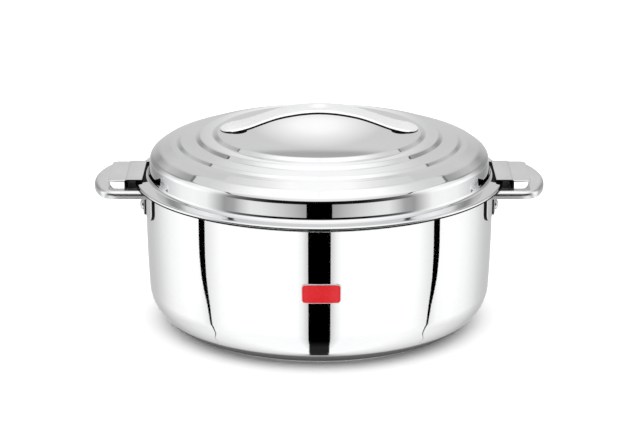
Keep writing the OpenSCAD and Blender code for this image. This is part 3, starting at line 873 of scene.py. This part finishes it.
# pair the right half of the outline with the left half, row by row
right = [i for i in range(m) if field[i][0] >= 0]
left = [i for i in range(m) if field[i][0] < 0]
right.sort(key=lambda i: field[i][1])
left.sort(key=lambda i: field[i][1])
K = 20
rows = []
for i, j in zip(left, right):
    row = [last[i]]
    for k in range(1, K):
        t = k / K
        s = field[i][0] + (field[j][0] - field[i][0]) * t
        z = field[i][1] + (field[j][1] - field[i][1]) * t
        row.append(bm.verts.new(badge_point(s, BZ + z, 0.58)))
    row.append(last[j])
    rows.append(row)
red_faces = []
for p, q in zip(rows, rows[1:]):
    for k in range(K):
        try:
            red_faces.append(bm.faces.new([p[k], p[k + 1], q[k + 1], q[k]]))
        except ValueError:
            pass
for f in red_faces:
    f.material_index = 1
bmesh.ops.remove_doubles(bm, verts=bm.verts, dist=1e-8)
badge_ob = finish_mesh("name_plate", bm, pale_mat, "pot", "red_enamel", "badge", sharp=40.0, merge=1e-8)
badge_ob.data.materials.append(red_mat)

# ---------------------------------------------------------------- carried-over nodes
NODE_MATS = {
    "body_insulation": foam_mat, "lid_insulation": foam_mat, "base_plug": black_mat, "lid_plug": black_mat,
    "backing_plate_left": stud_steel, "backing_plate_right": stud_steel, "stud_washers": stud_steel, "stud_nuts": stud_steel,
    # the stud sleeves are black rubber, whose black rings also stand in for the shade under the strap's ends
    "stud_sleeves": rubber_mat,
}
for n, mat in NODE_MATS.items():
    ob = frame["nodes"][n]
    if not ob.material_slots:
        ob.data.materials.append(mat)
    for s in ob.material_slots:
        s.material = mat

# ---------------------------------------------------------------- floor, world and light
floor_mat = Nodes("floor")
floor_mat.bsdf.inputs["Roughness"].default_value = 0.9
floor_mat.bsdf.inputs["Specular IOR Level"].default_value = 0.1
floor_mat.link(floor_mat.mix(floor_mat.noise(floor_mat.co, 3.0, 2.0), (0.955, 0.955, 0.955), (0.97, 0.97, 0.97)), floor_mat.bsdf.inputs["Base Color"])
bm = bmesh.new()
bmesh.ops.create_circle(bm, cap_ends=True, radius=6.0, segments=64)
me = bpy.data.meshes.new("floor")
bm.to_mesh(me)
bm.free()
me.materials.append(floor_mat.mat)
floor = bpy.data.objects.new("floor", me)
floor.location = (0, 0, -0.0002)
scene.collection.objects.link(floor)
floor.visible_glossy = False
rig.stage(floor)


def lin(srgb):
    """The light that shows as this sRGB value out of 255."""
    c = srgb / 255.0
    return c / 12.92 if c <= 0.04045 else ((c + 0.055) / 1.055) ** 2.4


def flag(name, outline, faces, glow):
    """A studio flag that is seen only in polished metal. glow is its brightness at the top and at the bottom."""
    me = bpy.data.meshes.new(name)
    me.from_pydata([(x * MM, y * MM, z * MM) for x, y, z in outline], [], faces)
    m = Nodes(name)
    m.t.nodes.remove(m.bsdf)
    em = m.add("ShaderNodeEmission")
    sep = m.add("ShaderNodeSeparateXYZ")
    m.link(m.co, sep.inputs[0])
    m.link(m.range(sep.outputs[2], -2.6, -1.2, lin(glow[1]), lin(glow[0])), em.inputs["Strength"])
    m.link(em.outputs[0], m.out.inputs["Surface"])
    me.materials.append(m.mat)
    ob = bpy.data.objects.new(name, me)
    scene.collection.objects.link(ob)
    ob.visible_camera = False
    ob.visible_diffuse = False
    ob.visible_shadow = False
    ob.visible_transmission = False
    ob.visible_volume_scatter = False
    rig.stage(ob)


# the front flag stands round the camera, the two side flags stand low beside the pot
flag("flag_front", [(-212, -1500, 450), (212, -1500, 450), (212, -1500, -230), (-212, -1500, -230),
                    (186, -1500, -300), (-186, -1500, -300), (186, -1500, -600), (-186, -1500, -600),
                    (225, -1500, -2000), (-225, -1500, -2000), (465, -1500, -6500), (-465, -1500, -6500),
                    (1230, -1500, -20000), (-1230, -1500, -20000)],
     [(0, 1, 2, 3), (3, 2, 4, 5), (5, 4, 6, 7), (7, 6, 8, 9), (9, 8, 10, 11), (11, 10, 12, 13)], (0, 38))
SIDE_D = 600.0
for side, s in (("right", 1), ("left", -1)):
    pts = []
    for z, a0, a1 in ((-72, 80.2, 86.0), (-105, 80.0, 85.8), (-140, 80.2, 85.8), (-175, 80.0, 84.8), (-200, 79.2, 83.0), (-225, 78.2, 80.8), (-260, 77.4, 79.2),
                      (-340, 78.9, 80.5), (-436, 82.1, 83.4), (-550, 87.5, 88.6), (-682, 98.2, 99.2),
                      (-750, 108.4, 109.4), (-812, 119.6, 120.6), (-832, 129.6, 130.5), (-805, 139.8, 140.6)):
        for a in (a0, a1):
            t = math.radians(a - 0.4)
            pts.append((s * (82 + SIDE_D * math.sin(t)), -82 - SIDE_D * math.cos(t), z))
    flag("flag_" + side, pts, [(2 * i, 2 * i + 1, 2 * i + 3, 2 * i + 2) for i in range(14)], (0, 0))

world = bpy.data.worlds.new("studio")
scene.world = world
world.use_nodes = True
wt = world.node_tree
wt.nodes.clear()


def wn(kind, **kw):
    n = wt.nodes.new(kind)
    for k, v in kw.items():
        setattr(n, k, v)
    return n


def wput(socket, v):
    if isinstance(v, bpy.types.NodeSocket):
        wt.links.new(v, socket)
    else:
        socket.default_value = v


def wmath(op, a, b=0.0):
    n = wn("ShaderNodeMath", operation=op)
    wput(n.inputs[0], a)
    wput(n.inputs[1], b)
    return n.outputs[0]


def wramp(fac, stops):
    n = wn("ShaderNodeValToRGB")
    wt.links.new(fac, n.inputs[0])
    el = n.color_ramp.elements
    while len(el) > 1:
        el.remove(el[-1])
    for i, (pos, v) in enumerate(stops):
        e = el[0] if i == 0 else el.new(pos)
        e.position = pos
        e.color = (v, v, v, 1)
    return n.outputs[0]


def wmix(fac, a, b):
    n = wn("ShaderNodeMix", data_type="RGBA")
    wput(n.inputs[0], fac)
    wput(n.inputs[6], a)
    wput(n.inputs[7], b)
    return n.outputs[2]


wsep = wn("ShaderNodeSeparateXYZ")
wt.links.new(wn("ShaderNodeTexCoord").outputs["Generated"], wsep.inputs[0])
wx, wy, wz = wsep.outputs
# elevation from -90 to 90 as 0 to 1; azimuth 0 at the front, 180 at the back as 0 to 1
el_deg = wmath("DEGREES", wmath("ARCSINE", wz))
el01 = wmath("ADD", wmath("DIVIDE", el_deg, 180.0), 0.5)
az_deg = wmath("ABSOLUTE", wmath("DEGREES", wmath("ARCTAN2", wx, wmath("MULTIPLY", wy, -1.0))))
az01 = wmath("DIVIDE", az_deg, 180.0)


def round_about(*stops):
    return wramp(az01, [(a / 180.0, lin(v)) for a, v in stops])


def round_about_plain(*stops):
    return wramp(az01, [(a / 180.0, v) for a, v in stops])


def up(*stops):
    return wramp(el01, [(e / 180.0 + 0.5, v) for e, v in stops])


# level with the object: dark room at the front, white walls at the sides, grey walls behind
level = round_about((0, 6), (30, 14), (42, 58), (54, 95), (62, 130), (70, 195), (78, 238), (90, 253), (110, 250), (121, 228),
                    (129, 185), (136, 150), (145, 138), (154, 152), (161, 178), (170, 192), (180, 200))
# a bright window in the wall behind, and a narrower one above it
back_deg = wmath("SUBTRACT", 180.0, az_deg)
window = wramp(wmath("SQRT", wmath("ADD", wmath("POWER", wmath("DIVIDE", back_deg, 2.6), 2.0),
                                   wmath("POWER", wmath("DIVIDE", wmath("SUBTRACT", el_deg, 14.4), 5.2), 2.0))), [(0.0, 1.0), (0.3, 0.9), (1.0, 0.0)])
level_hi = round_about((0, 6), (30, 14), (42, 58), (54, 95), (62, 130), (70, 195), (78, 232), (90, 246), (110, 225), (118, 165),
                       (126, 142), (133, 152), (140, 180), (150, 194), (160, 197), (170, 199), (175, 202), (180, 206))
level = wmix(up((16, 0.0), (26, 1.0)), level, level_hi)
level = wmix(window, level, (lin(247),) * 3 + (1,))
tall = wmath("MULTIPLY", wramp(wmath("DIVIDE", back_deg, 10.0), [(0.20, 1.0), (0.36, 0.8), (0.62, 0.0)]), up((21.9, 0.0), (23.0, 0.8), (36.0, 1.0)))
level = wmix(tall, level, (lin(246),) * 3 + (1,))
mark = wmath("MULTIPLY", wramp(wmath("DIVIDE", back_deg, 10.0), [(0.20, 1.0), (0.42, 0.0)]), up((19.6, 0.0), (20.3, 1.0), (21.7, 1.0), (22.3, 0.0)))
level = wmix(mark, level, (lin(162),) * 3 + (1,))
# overhead light tent: its edge hangs lower at the front than at the back
over = wmix(round_about_plain((80, 0.0), (112, 1.0)), up((37, lin(205)), (47, lin(226)), (56, lin(240)), (70, lin(252)), (90, lin(256))),
            up((41, lin(206)), (49, lin(206)), (56, lin(216)), (62, lin(234)), (70, lin(254))))
over = wmix(wramp(wmath("DIVIDE", back_deg, 20.0), [(0.35, 1.0), (0.55, 0.6), (0.85, 0.0)]), over, (lin(248),) * 3 + (1,))
tent = wmath("ADD", wmath("MULTIPLY", wmath("SUBTRACT", el_deg, wmath("ADD", 37.0, wmath("MULTIPLY", round_about_plain((60, 0.0), (100, 1.0)), 5.2))), 0.4), 0.5)
# a dark seam runs along the tent's edge at the sides
seam = wramp(tent, [(0.0, 0.0), (0.12, 1.0), (0.5, 1.0), (0.62, 0.0)])
seam = wmath("MULTIPLY", seam, round_about_plain((50, 0.0), (62, 1.0), (116, 0.9), (128, 0.5), (146, 0.35), (153, 0.0)))
tent = wramp(tent, [(0.45, 0.0), (0.75, 1.0)])
# the table far from the object, the table near it and the table under it
far = round_about((0, 150), (8, 160), (16, 186), (28, 212), (38, 226), (46, 226), (52, 200), (58, 160), (65, 150), (72, 196), (80, 236),
                  (92, 242), (104, 236), (115, 216), (125, 196), (140, 176), (160, 182), (172, 202))
near = round_about((0, 196), (7, 202), (8.5, 212), (11, 238), (15, 255), (64, 255), (70, 248), (76, 234), (80, 224), (87, 250), (98, 255), (106, 250),
                   (115, 243), (125, 228), (135, 208), (145, 194), (155, 188), (165, 190), (175, 205))
under = round_about((0, 196), (8, 204), (10, 222), (15, 248), (60, 250), (74, 244), (90, 234), (105, 228), (120, 216), (132, 206), (142, 194),
                    (150, 182), (160, 172), (172, 165))
low = wmix(up((-34, 1.0), (-22, 0.0)), near, under)
# the front flag's dark strip runs on under the pot
side = wmath("ABSOLUTE", wx)
foot_stripe = wmath("MULTIPLY", wramp(wmath("ADD", side, wmath("MULTIPLY", wy, 0.062)), [(0.0, 1.0), (0.053, 1.0), (0.062, 0.0)]),
                    wramp(wmath("ADD", wy, 0.5), [(0.20, 0.0), (0.24, 1.0), (0.60, 1.0), (0.66, 0.0)]))
low = wmix(foot_stripe, low, (lin(40),) * 3 + (1,))
sky = wmix(tent, level, over)
sky = wmix(seam, sky, (lin(50),) * 3 + (1,))
sky = wmix(up((-8.6, 1.0), (-7.4, 0.0)), sky, far)
sky = wmix(up((-16.6, 1.0), (-15.4, 0.0)), sky, low)
bg_gloss = wn("ShaderNodeBackground")
wt.links.new(sky, bg_gloss.inputs[0])
bg_gloss.inputs[1].default_value = 1.17
bg_soft = wn("ShaderNodeBackground")
bg_soft.inputs[0].default_value = (1, 1, 1, 1)
bg_soft.inputs[1].default_value = 1.7
path = wn("ShaderNodeLightPath")
shader_mix = wn("ShaderNodeMixShader")
wt.links.new(path.outputs["Is Glossy Ray"], shader_mix.inputs[0])
wt.links.new(bg_soft.outputs[0], shader_mix.inputs[1])
wt.links.new(bg_gloss.outputs[0], shader_mix.inputs[2])
wout = wn("ShaderNodeOutputWorld")
wt.links.new(shader_mix.outputs[0], wout.inputs[0])

# the lid's disc shows the studs and their sleeves but not the strap's bright arch
strap.visible_glossy = False

new_lo, new_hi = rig.bounds()
with open("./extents.json", "w") as f:
    json.dump({"cad": [list(cad_lo), list(cad_hi)], "visual": [list(new_lo), list(new_hi)]}, f)
